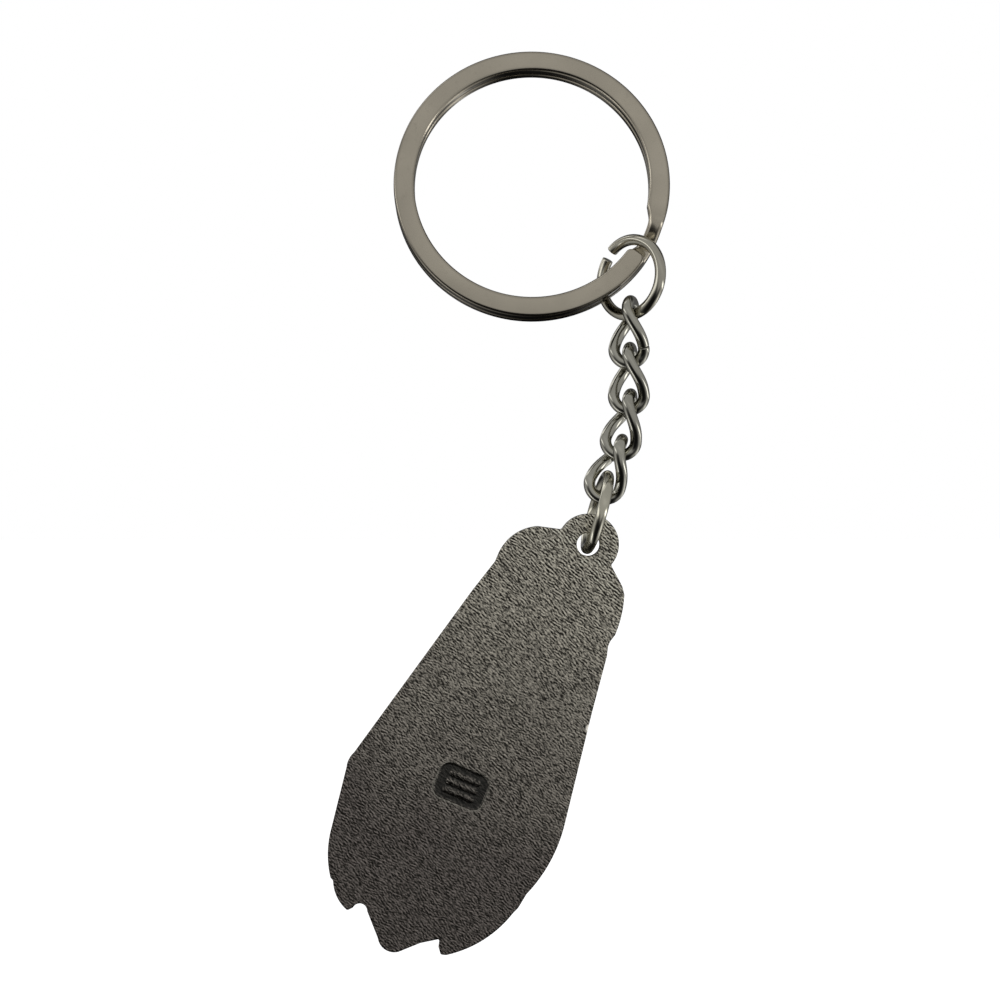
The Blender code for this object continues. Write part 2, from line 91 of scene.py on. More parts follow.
# ---- jump rings ----
JUMP_R = 4.08
JUMP_WIRE = 1.2
JUMP_SEGMENTS = 260
JUMP_SPRUNG_FROM = 0.8
UPPER_JUMP_CENTRE = Vector((14.105, -0.576, 23.945))
UPPER_JUMP_LEAN = 5.37
UPPER_JUMP_TURN = 43.52
UPPER_JUMP_DIP = -1.73
UPPER_JUMP_GAP = (138.0, 151.0)
UPPER_JUMP_SPRUNG = 0.28
UPPER_JUMP_AT = -42.5
LOWER_JUMP_FOOT = Vector((9.379, -0.375, -5.233))
LOWER_JUMP_LEAN = 15.84
LOWER_JUMP_NOD = -1.85
LOWER_JUMP_TURN = 4.14
LOWER_JUMP_GAP = (196.0, 199.0)
LOWER_JUMP_SPRUNG = 0.06

# ---- curb links ----
LINK_LENGTH = 8.0
LINK_WIDTH = 4.66
LINK_WIRE = 1.26
LINK_TWIST = 90.0
LINK_TWIST_AT = 0.15
LINK_TWIST_HALF = 2.85
LINK_BUTT = 0.08
LINK_SEGMENTS = 300
LINKS = (
    ((13.945, -0.92, 18.033), 2.1, 1.7, -17.8, -0.085),
    ((13.92, -0.70, 13.04), 1.6, 0.0, -13.0, 0.44),
    ((13.38, -0.89, 8.10), 12.6, -2.5, -12.1, 0.44),
    ((11.92, -1.12, 3.36), 21.3, 1.1, -5.0, 0.44),
)
WIRE_SIDES = 40
WIRE_END_R = 0.09  # easing of a cut end's edge

# ---- charm: u to the right and v up along its length, from the middle of its eye ----
CHARM_EYE = Vector((9.503, 0.0, -4.784))
CHARM_LEAN = 22.8
PLATE_T = 2.0
PLATE_EDGE_R = 0.26
EYE_R = 1.25
OUTLINE_START = (-3.28, 0.38)
OUTLINE = (
    ("line", (-5.75, -0.28)),
    ("arc", (-7.68, -1.95), (-8.56, -4.6)),
    ("line", (-8.55, -5.6)),
    ("line", (-9.62, -9.5)),
    ("line", (-14.60, -30.6)),
    ("arc", (-14.82, -31.4), (-14.72, -32.1)),
    ("line", (-13.62, -39.2)),
    ("arc", (-12.85, -41.8), (-11.70, -43.8)),
    ("line", (-11.32, -43.98)),
    ("arc", (-10.20, -45.5), (-8.66, -46.35)),
    ("line", (-8.20, -45.85)),
    ("arc", (-7.55, -45.1), (-6.65, -45.6)),
    ("line", (-4.46, -47.85)),
    ("arc", (-3.25, -48.68), (-1.60, -48.1)),
    ("line", (-0.05, -46.55)),
    ("line", (1.70, -45.35)),
    ("line", (1.90, -46.15)),
    ("line", (2.45, -46.85)),
    ("line", (3.05, -46.65)),
    ("arc", (5.95, -43.8), (7.92, -39.7)),
    ("line", (8.22, -38.95)),
    ("line", (8.45, -37.3)),
    ("arc", (9.52, -32.4), (9.30, -28.5)),
    ("line", (7.38, -16.5)),
    ("line", (6.52, -10.3)),
    ("line", (6.22, -9.3)),
    ("line", (6.22, -8.7)),
    ("line", (6.45, -7.9)),
    ("arc", (6.22, -5.4), (5.70, -3.5)),
    ("line", (5.15, -2.75)),
    ("line", (3.12, -1.10)),
    ("arc", (0.2, 3.3), OUTLINE_START),
)
ARC_STEP = 3.0
STAMP_CENTRE = (-2.5, -29.3)
STAMP_SIZE = (5.6, 3.9)
STAMP_CORNER = 1.1
STAMP_DEPTH = 0.32
STAMP_BARS = 3
STAMP_BAR = (3.4, 0.42)
STAMP_BAR_PITCH = 0.95
# painted highlight along the stamp's rim: where it lies past the edge, and its half width
STAMP_LIP_AT = 0.06
STAMP_LIP_HALF = 0.11

# ---- the charm's face ----
FIELD_DEPTH = 0.55
FIELD_START = (-5.2, -2.6)
FIELD = (
    ("arc", (-6.55, -3.6), (-7.15, -5.4)),
    ("line", (-8.35, -9.9)),
    ("line", (-13.15, -30.6)),
    ("arc", (-13.35, -31.6), (-13.3, -32.6)),
    ("line", (-12.35, -38.6)),
    ("arc", (-11.4, -41.6), (-9.7, -44.0)),
    ("line", (-7.6, -43.5)),
    ("line", (-5.6, -44.6)),
    ("line", (-3.4, -46.7)),
    ("line", (-1.4, -46.0)),
    ("line", (1.2, -43.9)),
    ("line", (3.2, -44.6)),
    ("arc", (5.3, -42.2), (6.7, -38.9)),
    ("line", (7.2, -36.6)),
    ("arc", (8.15, -32.4), (7.95, -28.6)),
    ("line", (6.05, -16.5)),
    ("line", (5.15, -9.6)),
    ("line", (5.0, -6.4)),
    ("arc", (4.45, -4.3), (2.9, -3.3)),
    ("arc", (-0.9, -3.9), (FIELD_START)),
)
YOKE_AT = (-7.4, -13.2, 5.0, -12.6)
YOKE_SAG = 1.6
YOKE_WIDTH = 1.3
PLEATS = (
    ((-6.6, -16.2), (-9.6, -27.0), (-10.4, -40.0)),
    ((-3.9, -16.8), (-5.4, -28.0), (-6.4, -41.6)),
    ((-1.2, -17.0), (-1.8, -29.0), (-2.4, -43.6)),
    ((1.5, -16.8), (2.0, -28.0), (2.0, -41.4)),
    ((4.1, -16.0), (5.4, -25.0), (5.4, -37.6)),
)
PLEAT_WIDTH = (0.9, 2.3)
PLEAT_RISE = 0.42
PLEAT_ROOT = 0.35
PLEAT_STEPS = 40
PLEAT_SIDES = 16

CHARM_GRID = 0.095  # size of the charm's mesh cells
PEEL_HEIGHT = 0.034  # of the back's orange-peel ridges
PEEL_SEED = 11
PEEL_WAVE = 0.28
CHIP_AT = (7.75, -18.2)  # a fleck of pale casting flash where the plating has flaked off the edge
CHIP_R = 0.42
CHIP_DEEP = 0.35  # how far the fleck reaches down the charm's wall
CHARM_SHADE_HEIGHTS = (8.0, 46.0)  # heights between which the charm's colour is painted from shaded dark at the foot to lit pale at the head
# painted shade: the charm's colour at its shaded foot
CHARM_SHADED_FOOT = (0.13, 0.115, 0.105)
CREST_LIGHT = 2.9  # painted light: how much paler the grain's crests are painted than the plating taken all together


# ---------------------------------------------------------------- small helpers


def turned(axis, degrees):
    return Matrix.Rotation(math.radians(degrees), 4, axis)


def smoothstep(share):
    share = min(1.0, max(0.0, share))
    return share * share * (3 - 2 * share)


def ring_directions():
    tilt = math.radians(RING_TILT)
    up = Vector((0, math.sin(tilt), math.cos(tilt)))
    facing = Vector((0, -math.cos(tilt), math.sin(tilt)))
    return X_AXIS, up, facing


def band_point(angle):
    side, up, _ = ring_directions()
    turn = math.radians(angle)
    return RING_CENTRE + (side * math.cos(turn) + up * math.sin(turn)) * (RING_OUTER_R - RING_BAND / 2)


def find_shift():
    """From the frame of the shapes above to the row's frame, in millimetres."""
    first = next(joint for joint in frame["joints"] if joint["child"] == "upper_jump_ring")
    return Vector(first["pos_m"]) / MM - band_point(UPPER_JUMP_AT)


SHIFT = find_shift()


def mesh_piece(name, points, faces, material, body, sharp=35.0, marks=None):
    """A shown piece from points in millimetres, which stands for the CAD node of its body."""
    data = bpy.data.meshes.new(name)
    placed = (np.asarray(points, float) + np.array(SHIFT)) * MM
    data.from_pydata(placed.tolist(), [], faces)
    for key, values in (marks or {}).items():
        data.attributes.new(key, "FLOAT", "POINT").data.foreach_set("value", np.asarray(values, np.float32))
    data.validate()
    data.materials.append(material)
    data.shade_smooth()
    data.set_sharp_from_angle(angle=math.radians(sharp))
    made = bpy.data.objects.new(name, data)
    bpy.context.scene.collection.objects.link(made)
    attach(made, body)
    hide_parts(body)
    return made


def sweep(path, frames, sections):
    """Points and faces of sections carried along a path, closed by a fan at each end."""
    count = len(sections[0])
    points = []
    for point, (side, up), section in zip(path, frames, sections):
        points += [point + side * x + up * y for x, y in section]
    faces = []
    for ring in range(len(path) - 1):
        for i in range(count):
            j = (i + 1) % count
            a, b = ring * count, (ring + 1) * count
            faces.append((a + i, a + j, b + j, b + i))
    last = (len(path) - 1) * count
    for start, flip in ((0, True), (last, False)):
        middle = len(points)
        rim = [points[start + i] for i in range(count)]
        points.append(sum(rim, Vector()) / count)
        for i in range(count):
            j = (i + 1) % count
            face = (start + i, start + j, middle)
            faces.append(face[::-1] if flip else face)
    return points, faces


def facing_out(points, faces):
    """The faces, turned round if they enclose a negative volume."""
    volume = 0.0
    for face in faces:
        for k in range(1, len(face) - 1):
            a, b, c = points[face[0]], points[face[k]], points[face[k + 1]]
            volume += a.dot(b.cross(c))
    return faces if volume > 0 else [face[::-1] for face in faces]


def carried_frames(path):
    tangents = []
    for i in range(len(path)):
        before = path[max(i - 1, 0)]
        after = path[min(i + 1, len(path) - 1)]
        tangents.append((after - before).normalized())
    seed = Y_AXIS if abs(tangents[0].dot(Y_AXIS)) < 0.9 else X_AXIS
    side = (seed - tangents[0] * seed.dot(tangents[0])).normalized()
    frames = []
    for tangent in tangents:
        side = (side - tangent * side.dot(tangent)).normalized()
        frames.append((side, tangent.cross(side)))
    return frames


def eased_ends(path):
    """For a cut wire: the path with extra points close to its ends, and how far each section draws in there."""
    lengths = [0.0]
    for a, b in zip(path, path[1:]):
        lengths.append(lengths[-1] + (b - a).length)
    total = lengths[-1]
    eases = [math.radians(90 * i / 5) for i in range(5)]
    near = [WIRE_END_R * (1 - math.cos(turn)) for turn in eases]
    wanted = near + [s for s in lengths if WIRE_END_R < s < total - WIRE_END_R] + [total - s for s in reversed(near)]
    made, draw = [], []
    k = 0
    for s in wanted:
        while k < len(lengths) - 2 and lengths[k + 1] < s:
            k += 1
        share = (s - lengths[k]) / (lengths[k + 1] - lengths[k])
        made.append(path[k].lerp(path[k + 1], share))
        depth = max(0.0, WIRE_END_R - min(s, total - s))
        draw.append(WIRE_END_R - math.sqrt(max(0.0, WIRE_END_R**2 - depth**2)))
    return made, draw


def wire_piece(name, path, diameter, material):
    path, draw = eased_ends(path)
    sections = []
    for inset in draw:
        radius = diameter / 2 - inset
        turns = [2 * math.pi * i / WIRE_SIDES for i in range(WIRE_SIDES)]
        sections.append([(radius * math.cos(turn), radius * math.sin(turn)) for turn in turns])
    points, faces = sweep(path, carried_frames(path), sections)
    return mesh_piece(f"{name}_wire", points, facing_out(points, faces), material, name)


# ---------------------------------------------------------------- outlines


def arc_through(start, via, end):
    ax, ay = start
    bx, by = via
    cx, cy = end
    twice = 2 * (ax * (by - cy) + bx * (cy - ay) + cx * (ay - by))
    a2, b2, c2 = ax * ax + ay * ay, bx * bx + by * by, cx * cx + cy * cy
    mx = (a2 * (by - cy) + b2 * (cy - ay) + c2 * (ay - by)) / twice
    my = (a2 * (cx - bx) + b2 * (ax - cx) + c2 * (bx - ax)) / twice
    radius = math.hypot(ax - mx, ay - my)
    first = math.atan2(ay - my, ax - mx)
    middle = (math.atan2(by - my, bx - mx) - first) % (2 * math.pi)
    span = (math.atan2(cy - my, cx - mx) - first) % (2 * math.pi)
    if middle > span:
        span -= 2 * math.pi
    steps = max(2, math.ceil(abs(math.degrees(span)) / ARC_STEP))
    points = []
    for i in range(1, steps + 1):
        angle = first + span * i / steps
        points.append((mx + radius * math.cos(angle), my + radius * math.sin(angle)))
    points[-1] = end
    return points


def outline_points(start, pieces):
    points = [start]
    for piece in pieces:
        if piece[0] == "line":
            points.append(piece[1])
        else:
            points.extend(arc_through(points[-1], piece[1], piece[2]))
    return points[:-1] if math.dist(points[0], points[-1]) < 1e-6 else points


def rounded_box(centre, size, corner, steps=8):
    points = []
    for sx, sy, first in ((1, 1, 0), (-1, 1, 90), (-1, -1, 180), (1, -1, 270)):
        cx = centre[0] + sx * (size[0] / 2 - corner)
        cy = centre[1] + sy * (size[1] / 2 - corner)
        for i in range(steps + 1):
            angle = math.radians(first + 90 * i / steps)
            points.append((cx + corner * math.cos(angle), cy + corner * math.sin(angle)))
    return points


# ---------------------------------------------------------------- materials


class Nodes:
    """Short names for building a node tree."""

    def __init__(self, tree):
        self.tree = tree

    def add(self, kind, inputs=None, **settings):
        node = self.tree.nodes.new(kind)
        for key, value in settings.items():
            setattr(node, key, value)
        for key, value in (inputs or {}).items():
            self.put(node.inputs[key], value)
        return node

    def put(self, socket, value):
        if isinstance(value, bpy.types.NodeSocket):
            self.tree.links.new(value, socket)
        else:
            socket.default_value = value

    def math(self, operation, *values, clamp=False):
        node = self.add("ShaderNodeMath", operation=operation, use_clamp=clamp)
        for i, value in enumerate(values):
            self.put(node.inputs[i], value)
        return node.outputs[0]

    def noise(self, vector, scale, detail=3.0, roughness=0.5, distortion=0.0):
        node = self.add(
            "ShaderNodeTexNoise",
            {"Vector": vector, "Scale": scale, "Detail": detail, "Roughness": roughness, "Distortion": distortion},
        )
        return node.outputs["Fac"]

    def remap(self, value, low, high, to_low=0.0, to_high=1.0):
        inputs = {"Value": value, "From Min": low, "From Max": high, "To Min": to_low, "To Max": to_high}
        return self.add("ShaderNodeMapRange", inputs).outputs[0]

    def mix(self, share, first, second):
        node = self.add("ShaderNodeMix", {"Factor": share}, data_type="RGBA")
        self.put(node.inputs["A"], first)
        self.put(node.inputs["B"], second)
        return node.outputs["Result"]


def new_material(name):
    made = bpy.data.materials.new(name)
    made.use_nodes = True
    tree = made.node_tree
    nodes = Nodes(tree)
    shader = tree.nodes["Principled BSDF"]
    coordinates = nodes.add("ShaderNodeTexCoord").outputs["Object"]
    in_mm = nodes.add("ShaderNodeVectorMath", operation="SCALE")
    nodes.put(in_mm.inputs[0], coordinates)
    in_mm.inputs["Scale"].default_value = 1 / MM
    return made, nodes, shader, in_mm.outputs[0]


def plated_wire(name, colour, roughness, wall_shade=0.0):
    """Polished black nickel: slow changes of tone, faint smudges, and fine drawing marks; where asked, painted shade
    on the outer wall.
    """
    made, nodes, shader, where = new_material(name)
    slow = nodes.noise(where, 0.2, 2.0)
    smudge = nodes.noise(where, 1.6, 5.0, 0.6)
    fine = nodes.noise(where, 9.0, 3.0, 0.6)
    dark = (*[0.94 * c for c in colour], 1)
    light = (*[1.06 * c for c in colour], 1)
    toned = nodes.mix(nodes.remap(slow, 0.35, 0.65), dark, light)
    worn = nodes.mix(nodes.remap(smudge, 0.58, 0.75, 0.0, 0.35), toned, (*[0.75 * c for c in colour], 1))
    # painted shade: the outer wall's colour is darkened towards near black, for the dark it reflects
    if wall_shade:
        wall = nodes.add("ShaderNodeAttribute", attribute_name="wall").outputs["Fac"]
        worn = nodes.mix(nodes.math("MULTIPLY", wall, wall_shade), worn, (0.02, 0.018, 0.016, 1))
    nodes.put(shader.inputs["Base Color"], worn)
    shader.inputs["Metallic"].default_value = 1.0
    rough = nodes.math("ADD", nodes.remap(smudge, 0.4, 0.75, roughness, roughness + 0.05), 0.0)
    nodes.put(shader.inputs["Roughness"], rough)
    bump = nodes.add("ShaderNodeBump", {"Strength": 0.12, "Distance": 0.00002, "Height": fine})
    nodes.put(shader.inputs["Normal"], bump.outputs[0])
    return made


def cast_plate(name, colour):
    """Cast metal under dark plating, with painted shade: paler at the head and to the right, darker and browner at the
    foot, for how the light falls; the grain's crests painted light and its hollows dark; the stamp's recess painted
    dark and its rim painted light.
    """
    made, nodes, shader, where = new_material(name)
    split = nodes.add("ShaderNodeSeparateXYZ", {"Vector": where})
    # painted shade: the colour pales up the charm and to the right and darkens to the foot and the left
    rise = nodes.remap(split.outputs["Z"], *CHARM_SHADE_HEIGHTS)
    lean = nodes.remap(split.outputs["X"], -18.0, 14.0, -0.22, 0.1)
    slow = nodes.remap(nodes.noise(where, 0.16, 2.0), 0.3, 0.7, -0.08, 0.08)
    share = nodes.math("ADD", nodes.math("ADD", rise, lean), slow, clamp=True)
    toned = nodes.mix(share, (*[CREST_LIGHT * c for c in CHARM_SHADED_FOOT], 1), (*[CREST_LIGHT * c for c in colour], 1))
    peel = nodes.add("ShaderNodeAttribute", attribute_name="peel").outputs["Fac"]
    recess_shade = nodes.add("ShaderNodeAttribute", attribute_name="recess_shade").outputs["Fac"]
    lip_highlight = nodes.add("ShaderNodeAttribute", attribute_name="lip_highlight").outputs["Fac"]
    chip = nodes.add("ShaderNodeAttribute", attribute_name="chip").outputs["Fac"]
    along = nodes.math("MULTIPLY", nodes.math("SUBTRACT", split.outputs["X"], split.outputs["Z"]), 0.3)
    across = nodes.math("MULTIPLY", nodes.math("ADD", split.outputs["X"], split.outputs["Z"]), 0.707)
    drawn = nodes.add("ShaderNodeCombineXYZ", {"X": along, "Y": split.outputs["Y"], "Z": across}).outputs[0]
    grit = nodes.noise(drawn, 7.0, 2.0, 0.6)
    # painted light and shade on the grain: its crests pale and its hollows near black, following the "peel" mark
    ridge_shade = nodes.remap(peel, 0.12, 0.88, -0.46, 0.98)
    speck = nodes.math("ADD", ridge_shade, nodes.remap(grit, 0.3, 0.7, -0.5, 0.7), clamp=True)
    bright = nodes.mix(speck, (0.03, 0.028, 0.024, 1), toned)
    # painted highlight: a pale line along the stamp's rim
    lipped = nodes.mix(nodes.math("MULTIPLY", lip_highlight, 0.6), bright, (0.4, 0.385, 0.33, 1))
    # painted shade: the stamp's recess is darker the deeper it lies, so its raised bars stay lighter
    stamped = nodes.mix(nodes.remap(recess_shade, 0.2, 0.95, 0.0, 0.88), lipped, (0.03, 0.03, 0.028, 1))
    flaked = nodes.mix(chip, stamped, (0.8, 0.76, 0.68, 1))
    nodes.put(shader.inputs["Base Color"], flaked)
    nodes.put(shader.inputs["Metallic"], nodes.remap(chip, 0.0, 1.0, 1.0, 0.0))
    nodes.put(shader.inputs["Roughness"], nodes.remap(grit, 0.3, 0.7, 0.2, 0.34))
    bump = nodes.add("ShaderNodeBump", {"Strength": 0.8, "Distance": 0.00005, "Height": grit})
    nodes.put(shader.inputs["Normal"], bump.outputs[0])
    return made


# ---------------------------------------------------------------- the wires


def spaced(start, stop, step):
    count = max(1, math.ceil(abs(start - stop) / step))
    return [start + (stop - start) * i / count for i in range(1, count + 1)]


def ring_angles():
    middle = RING_OUTER_R - RING_BAND / 2
    tip = math.degrees(RING_TIP_R / middle)
    ends = [tip * (1 - math.cos(math.radians(90 * i / 8))) for i in range(9)]
    angles = [FRONT_TIP_AT - share for share in ends]
    for stop, step in ((JOGGLE_FROM + 6, RING_STEP), (JOGGLE_TO - 6, JOGGLE_STEP), (BACK_TIP_AT + tip, RING_STEP)):
        angles += spaced(angles[-1], stop, step)
    return angles + [BACK_TIP_AT + share for share in reversed(ends[:-1])]


def ring_layer(angle):
    half = (RING_WIRE_T + RING_COIL_GAP) / 2
    return half - 2 * half * smoothstep((JOGGLE_FROM - angle) / (JOGGLE_FROM - JOGGLE_TO))


def band_section(half_width, inset, crowned):
    """A flat wire's section: straight flats, and edges rounded to a fine step. Crowned 1 is pressed to an oval."""
    half_t = RING_WIRE_T / 2 - inset
    corner = min(RING_EDGE_R, half_t)
    half_width -= crowned * PRESSED_NARROWER / 2
    shift = crowned * PRESSED_NARROWER / 2
    points = []
    for sx, sy, first in ((1, 1, 0), (-1, 1, 90), (-1, -1, 180), (1, -1, 270)):
        centre = (sx * (half_width - corner), sy * (half_t - corner))
        for i in range(RING_CORNER_STEPS + 1):
            angle = math.radians(first + 90 * i / RING_CORNER_STEPS)
            flat = (centre[0] + corner * math.cos(angle), centre[1] + corner * math.sin(angle))
            turn = math.atan2(flat[1] / half_t, flat[0] / half_width)
            oval = (half_width * math.cos(turn), half_t * math.sin(turn))
            x = flat[0] + (oval[0] - flat[0]) * crowned + shift
            points.append((x, flat[1] + (oval[1] - flat[1]) * crowned))
    return points


def pressed(angle):
    """How far the wire is pressed round at an angle: fully in the joggle, not at all away from it."""
    return math.exp(-(((angle - PRESSED_AT) / PRESSED_HALF) ** 4))


def split_ring(material):
    side, up, facing = ring_directions()
    middle = RING_OUTER_R - RING_BAND / 2
    path, frames, sections = [], [], []
    angles = ring_angles()
    for angle in angles:
        turn = math.radians(angle)
        outwards = side * math.cos(turn) + up * math.sin(turn)
        along = up * math.cos(turn) - side * math.sin(turn)
        slope = (ring_layer(angle + 0.5) - ring_layer(angle - 0.5)) / (math.radians(1) * middle)
        path.append(RING_CENTRE + outwards * middle + facing * ring_layer(angle))
        frames.append((outwards, (facing - along * slope).normalized()))
        from_tip = math.radians(min(angles[0] - angle, angle - angles[-1])) * middle
        short = max(0.0, RING_TIP_R - from_tip)
        rounding = RING_TIP_R - math.sqrt(max(0.0, RING_TIP_R**2 - short**2))
        eased = max(0.0, WIRE_END_R - from_tip)
        inset = WIRE_END_R - math.sqrt(max(0.0, WIRE_END_R**2 - eased**2))
        sections.append(band_section(RING_BAND / 2 - rounding, inset, pressed(angle)))
    points, faces = sweep(path, frames, sections)
    from_centre = [(point - RING_CENTRE - facing * (point - RING_CENTRE).dot(facing)).length for point in points]
    # painted shade mask for the ring's outer wall, carried to the material as the "wall" mark
    wall = [smoothstep((size - RING_OUTER_R + WALL_SHADE_DEPTH) / WALL_SHADE_DEPTH) for size in from_centre]
    turned_out = facing_out(points, faces)
    return mesh_piece("split_ring_coils", points, turned_out, material, "split_ring", marks={"wall": wall})


def jump_path(centre, up, across, gap, sprung):
    facing = up.cross(across)
    first, last = gap[1], gap[0] + 360
    path = []
    for i in range(JUMP_SEGMENTS + 1):
        angle = math.radians(first + (last - first) * i / JUMP_SEGMENTS)
        proud = sprung * smoothstep((i / JUMP_SEGMENTS - JUMP_SPRUNG_FROM) / (1 - JUMP_SPRUNG_FROM))
        spoke = across * math.cos(angle) + up * math.sin(angle)
        path.append(centre + spoke * (JUMP_R + proud) + facing * proud / 2)
    return path


def upper_jump_path():
    lean = math.radians(UPPER_JUMP_LEAN)
    turn = math.radians(UPPER_JUMP_TURN)
    up = Vector((math.sin(lean), 0, math.cos(lean)))
    across = Vector((math.cos(lean), 0, -math.sin(lean))) * math.cos(turn) - Y_AXIS * math.sin(turn)
    up = turned(across, UPPER_JUMP_DIP) @ up
    return jump_path(UPPER_JUMP_CENTRE, up, across, UPPER_JUMP_GAP, UPPER_JUMP_SPRUNG)


def lower_jump_path():
    up = turned(Y_AXIS, LOWER_JUMP_LEAN) @ turned(X_AXIS, LOWER_JUMP_NOD) @ Z_AXIS
    across = turned(up, LOWER_JUMP_TURN) @ (up * up.y - Y_AXIS).normalized()
    return jump_path(LOWER_JUMP_FOOT + up * JUMP_R, up, across, LOWER_JUMP_GAP, LOWER_JUMP_SPRUNG)


def link_line(share):
    """A point of the untwisted link's middle line, going once round from the middle of its right leg upwards."""
    radius = (LINK_WIDTH - LINK_WIRE) / 2
    leg = LINK_LENGTH - LINK_WIDTH
    bow = math.pi * radius
    along = (share % 1.0) * (2 * leg + 2 * bow)
    if along < leg / 2:
        return radius, along
    along -= leg / 2
    if along < bow:
        return radius * math.cos(along / radius), leg / 2 + radius * math.sin(along / radius)
    along -= bow
    if along < leg:
        return -radius, leg / 2 - along
    along -= leg
    if along < bow:
        return -radius * math.cos(along / radius), -leg / 2 - radius * math.sin(along / radius)
    return radius, along - bow - leg / 2


def link_path(index):
    centre, lean, nod, turn, butt_at = LINKS[index]
    to_world = Matrix.Translation(centre) @ turned(Y_AXIS, lean) @ turned(X_AXIS, nod) @ turned(Z_AXIS, turn)
    leg = LINK_LENGTH - LINK_WIDTH
    around = 2 * leg + math.pi * (LINK_WIDTH - LINK_WIRE)
    first = butt_at + LINK_BUTT / 2 / around
    last = butt_at + 1 - LINK_BUTT / 2 / around
    path = []
    for i in range(LINK_SEGMENTS + 1):
        x, z = link_line(first + (last - first) * i / LINK_SEGMENTS)
        twist = smoothstep((z - LINK_TWIST_AT + LINK_TWIST_HALF) / (2 * LINK_TWIST_HALF))
        spin = math.radians(-LINK_TWIST * twist)
        path.append(to_world @ Vector((x * math.cos(spin), x * math.sin(spin), z)))
    return path


# ---------------------------------------------------------------- the charm


def slab(points, near, far):
    shape = bmesh.new()
    low = [shape.verts.new((u, near, v)) for u, v in points]
    high = [shape.verts.new((u, far, v)) for u, v in points]
    shape.faces.new(low)
    shape.faces.new(list(reversed(high)))
    for i in range(len(points)):
        j = (i + 1) % len(points)
        shape.faces.new((low[j], low[i], high[i], high[j]))
    return shape


def bent_bar(points, widths, rise, root, steps):
    (x0, z0), (x1, z1), (x2, z2) = points
    shape = bmesh.new()
    rings = []
    for i in range(steps + 1):
        t = (1 - math.cos(math.pi * i / steps)) / 2
        u = (1 - t) ** 2 * x0 + 2 * t * (1 - t) * x1 + t * t * x2
        v = (1 - t) ** 2 * z0 + 2 * t * (1 - t) * z1 + t * t * z2
        du = 2 * (1 - t) * (x1 - x0) + 2 * t * (x2 - x1)
        dv = 2 * (1 - t) * (z1 - z0) + 2 * t * (z2 - z1)
        size = math.hypot(du, dv)
        side = Vector((dv / size, 0, -du / size))
        ends = math.sqrt(max(0.0, 1 - (abs(2 * t - 1)) ** 8))
        half = (widths[0] + (widths[1] - widths[0]) * t) / 2 * max(0.35, ends)
        ring = [shape.verts.new(Vector((u, -root, v)) - side * half)]
        for k in range(PLEAT_SIDES + 1):
            angle = math.pi * (1 - k / PLEAT_SIDES)
            lift = rise * max(0.3, ends) * math.sin(angle)
            ring.append(shape.verts.new(Vector((u, lift, v)) + side * half * math.cos(angle)))
        ring.append(shape.verts.new(Vector((u, -root, v)) + side * half))
        rings.append(ring)
    for first, second in zip(rings, rings[1:]):
        for i in range(len(first)):
            j = (i + 1) % len(first)
            shape.faces.new((first[i], first[j], second[j], second[i]))
    shape.faces.new(rings[0])
    shape.faces.new(list(reversed(rings[-1])))
    return shape


def loose_object(name, shape):
    bmesh.ops.recalc_face_normals(shape, faces=shape.faces)
    data = bpy.data.meshes.new(name)
    shape.to_mesh(data)
    shape.free()
    made = bpy.data.objects.new(name, data)
    bpy.context.scene.collection.objects.link(made)
    return made


def charm_tools():
    """What is cut from the plate and added to it, in order, each with its operation."""
    back, face = -PLATE_T / 2, PLATE_T / 2
    floor = face - FIELD_DEPTH
    yield slab(outline_points(FIELD_START, FIELD), floor, face + 1), "DIFFERENCE"
    left_u, left_v, right_u, right_v = YOKE_AT
    yoke = ((left_u, left_v), ((left_u + right_u) / 2, left_v - 2 * YOKE_SAG), (right_u, right_v))
    for line, widths in [(yoke, (YOKE_WIDTH, YOKE_WIDTH))] + [(line, PLEAT_WIDTH) for line in PLEATS]:
        bar = bent_bar(line, widths, PLEAT_RISE, PLEAT_ROOT, PLEAT_STEPS)
        bmesh.ops.translate(bar, vec=(0, floor, 0), verts=bar.verts)
        yield bar, "UNION"
    eye = [(EYE_R * math.cos(math.radians(4 * i)), EYE_R * math.sin(math.radians(4 * i))) for i in range(90)]
    yield slab(eye, back - 1, face + 1), "DIFFERENCE"
    yield slab(rounded_box(STAMP_CENTRE, STAMP_SIZE, STAMP_CORNER), back - 1, back + STAMP_DEPTH), "DIFFERENCE"
    for i in range(STAMP_BARS):
        rise = (i - (STAMP_BARS - 1) / 2) * STAMP_BAR_PITCH
        bar = rounded_box((STAMP_CENTRE[0], STAMP_CENTRE[1] + rise), STAMP_BAR, STAMP_BAR[1] / 2.5, 3)
        yield slab(bar, back + STAMP_DEPTH / 2, back + STAMP_DEPTH + PLEAT_ROOT), "UNION"


